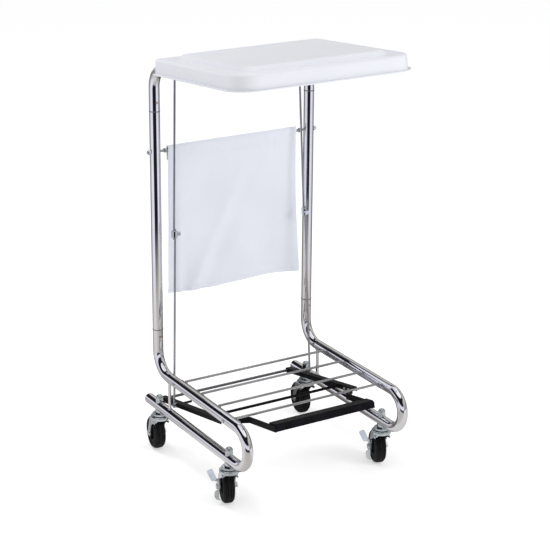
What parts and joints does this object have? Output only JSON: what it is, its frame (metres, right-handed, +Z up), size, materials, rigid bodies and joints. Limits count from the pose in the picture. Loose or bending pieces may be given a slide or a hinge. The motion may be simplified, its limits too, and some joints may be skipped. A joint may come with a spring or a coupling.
{
  "type": "linen trolley",
  "caption": "Chromed tube stand on swivel casters that holds a laundry bag in a top hoop, with a white lid lifted by a foot pedal through push rods and a wire shelf below.",
  "frame": {"origin": "on the floor under the middle of the trolley's bounding box", "axes": "+Z up, +X to the right when looking from the pedal side to the back, -Y the front where the pedal is"},
  "size_m": [0.5008, 0.5215, 1.0562],
  "materials": {
    "chrome_tube": "polished chrome plate",
    "bright_wire": "bright plated wire",
    "plated_fixing": "bright zinc plate",
    "zinc_caster": "bluish zinc plate",
    "cloth": "plain woven polyester, matte",
    "lid_plastic": "satin moulded plastic",
    "rubber_pad": "matte rubber",
    "black_paint": "semi-gloss black powder coat on steel",
    "dark_rod": "dull dark plated steel",
    "wheel_core": "matte black nylon",
    "black_tyre": "matte black rubber"
  },
  "bodies": {
    "frame": {"base_tube_left": "chrome_tube", "base_tube_right": "chrome_tube", "upright_tube_left": "chrome_tube", "upright_tube_right": "chrome_tube", "top_hoop": "chrome_tube", "joint_sleeves": "chrome_tube", "snap_buttons": "plated_fixing", "runner_plugs": "chrome_tube", "runner_struts": "chrome_tube", "shelf_side_rods": "bright_wire", "shelf_cross_wires": "bright_wire", "shelf_screws": "plated_fixing", "cloth_rod": "bright_wire", "cloth_rod_nuts": "plated_fixing", "guard_cloth": "cloth", "lid_hinge_rod": "bright_wire", "lid_hinge_lugs": "bright_wire", "caster_stems": "plated_fixing", "stem_nuts": "plated_fixing", "caster_top_races": "zinc_caster"},
    "lid": {"lid": "lid_plastic", "lid_crank_left": "zinc_caster", "lid_crank_right": "zinc_caster", "lid_screws": "plated_fixing", "lid_bumpers": "rubber_pad"},
    "pedal": {"pedal_arm_left": "black_paint", "pedal_arm_right": "black_paint", "pedal_bar": "black_paint", "pedal_pivot_rod": "dark_rod", "pedal_stretcher": "black_paint", "pedal_bolts": "plated_fixing", "push_rod_pins": "black_paint", "pin_washers": "plated_fixing"},
    "push_rod_left": {"lower_push_rod_left": "bright_wire", "upper_push_rod_left": "bright_wire", "rod_clamp_left": "zinc_caster"},
    "thumbscrew_left": {"thumbscrew_left": "zinc_caster"},
    "push_rod_right": {"lower_push_rod_right": "bright_wire", "upper_push_rod_right": "bright_wire", "rod_clamp_right": "zinc_caster"},
    "thumbscrew_right": {"thumbscrew_right": "zinc_caster"},
    "caster_front_left": {"caster_fork_front_left": "zinc_caster", "caster_axle_front_left": "zinc_caster"},
    "wheel_front_left": {"wheel_hub_front_left": "wheel_core", "tyre_front_left": "black_tyre"},
    "brake_lever_left": {"brake_lever_left": "zinc_caster"},
    "caster_front_right": {"caster_fork_front_right": "zinc_caster", "caster_axle_front_right": "zinc_caster"},
    "wheel_front_right": {"wheel_hub_front_right": "wheel_core", "tyre_front_right": "black_tyre"},
    "brake_lever_right": {"brake_lever_right": "zinc_caster"},
    "caster_rear_left": {"caster_fork_rear_left": "zinc_caster", "caster_axle_rear_left": "zinc_caster"},
    "wheel_rear_left": {"wheel_hub_rear_left": "wheel_core", "tyre_rear_left": "black_tyre"},
    "caster_rear_right": {"caster_fork_rear_right": "zinc_caster", "caster_axle_rear_right": "zinc_caster"},
    "wheel_rear_right": {"wheel_hub_rear_right": "wheel_core", "tyre_rear_right": "black_tyre"}
  },
  "joints": [
    {"name": "lid_hinge", "type": "hinge", "parent": "frame", "child": "lid", "pos_m": [0, 0.15, 1.0046], "axis": [-1, 0, 0], "range_deg": [0, 50]},
    {"name": "pedal_pivot", "type": "hinge", "parent": "frame", "child": "pedal", "pos_m": [0, 0.222, 0.126], "axis": [1, 0, 0], "range_deg": [0, 10.6]},
    {"name": "push_rod_foot_left", "type": "hinge", "parent": "pedal", "child": "push_rod_left", "pos_m": [-0.198, 0.14302, 0.14106], "axis": [1, 0, 0], "range_deg": [-9.9, 0]},
    {"name": "push_rod_foot_right", "type": "hinge", "parent": "pedal", "child": "push_rod_right", "pos_m": [0.198, 0.14302, 0.14106], "axis": [1, 0, 0], "range_deg": [-9.9, 0]},
    {"name": "thumbscrew_turn_left", "type": "hinge", "parent": "push_rod_left", "child": "thumbscrew_left", "pos_m": [-0.18394, 0.15748, 0.58], "axis": [0.9995, -0.0009, -0.032], "continuous": true},
    {"name": "thumbscrew_turn_right", "type": "hinge", "parent": "push_rod_right", "child": "thumbscrew_right", "pos_m": [0.18394, 0.15748, 0.58], "axis": [-0.0009, -0.9996, 0.0269], "continuous": true},
    {"name": "caster_swivel_front_left", "type": "hinge", "parent": "frame", "child": "caster_front_left", "pos_m": [-0.215, -0.16, 0.099], "axis": [0, 0, 1], "continuous": true},
    {"name": "wheel_spin_front_left", "type": "hinge", "parent": "caster_front_left", "child": "wheel_front_left", "pos_m": [-0.20432, -0.12984, 0.042], "axis": [0.9426, -0.3338, 0], "continuous": true},
    {"name": "brake_left", "type": "hinge", "parent": "caster_front_left", "child": "brake_lever_left", "pos_m": [-0.20432, -0.12984, 0.042], "axis": [-0.9426, 0.3338, 0], "range_deg": [0, 40]},
    {"name": "caster_swivel_front_right", "type": "hinge", "parent": "frame", "child": "caster_front_right", "pos_m": [0.215, -0.16, 0.099], "axis": [0, 0, 1], "continuous": true},
    {"name": "wheel_spin_front_right", "type": "hinge", "parent": "caster_front_right", "child": "wheel_front_right", "pos_m": [0.22568, -0.12984, 0.042], "axis": [0.9426, -0.3338, 0], "continuous": true},
    {"name": "brake_right", "type": "hinge", "parent": "caster_front_right", "child": "brake_lever_right", "pos_m": [0.22568, -0.12984, 0.042], "axis": [-0.9426, 0.3338, 0], "range_deg": [0, 40]},
    {"name": "caster_swivel_rear_left", "type": "hinge", "parent": "frame", "child": "caster_rear_left", "pos_m": [-0.215, 0.189, 0.099], "axis": [0, 0, 1], "continuous": true},
    {"name": "wheel_spin_rear_left", "type": "hinge", "parent": "caster_rear_left", "child": "wheel_rear_left", "pos_m": [-0.20999, 0.22061, 0.042], "axis": [0.9877, -0.1564, 0], "continuous": true},
    {"name": "caster_swivel_rear_right", "type": "hinge", "parent": "frame", "child": "caster_rear_right", "pos_m": [0.215, 0.189, 0.099], "axis": [0, 0, 1], "continuous": true},
    {"name": "wheel_spin_rear_right", "type": "hinge", "parent": "caster_rear_right", "child": "wheel_rear_right", "pos_m": [0.22001, 0.22061, 0.042], "axis": [0.9877, -0.1564, 0], "continuous": true}
  ],
  "couplings": [
    {"joint": "pedal_pivot", "follows": "lid_hinge", "ratio": 0.21},
    {"joint": "push_rod_foot_left", "follows": "lid_hinge", "ratio": -0.1955},
    {"joint": "push_rod_foot_right", "follows": "lid_hinge", "ratio": -0.1955}
  ]
}
